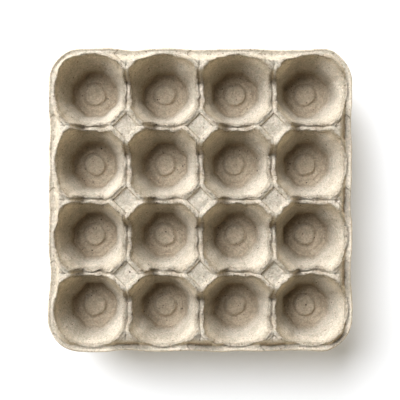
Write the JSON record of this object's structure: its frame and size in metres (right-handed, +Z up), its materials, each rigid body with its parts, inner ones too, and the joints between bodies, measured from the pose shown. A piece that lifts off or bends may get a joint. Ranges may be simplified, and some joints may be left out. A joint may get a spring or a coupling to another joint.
{
  "type": "stack of pulp egg trays",
  "caption": "Short nested stack of open moulded-pulp egg trays with funnel-shaped cups, hollow posts between them and a narrow flanged rim.",
  "frame": {"origin": "middle of the stack's footprint, on the surface it stands on", "axes": "+Z up, X and Y along the two rows of cups"},
  "size_m": [0.2068, 0.2068, 0.0612],
  "materials": {
    "moulded_pulp": "matt, rough fibres"
  },
  "bodies": {
    "root": {"bottom_tray": "moulded_pulp", "middle_tray": "moulded_pulp", "top_tray": "moulded_pulp"}
  },
  "joints": []
}
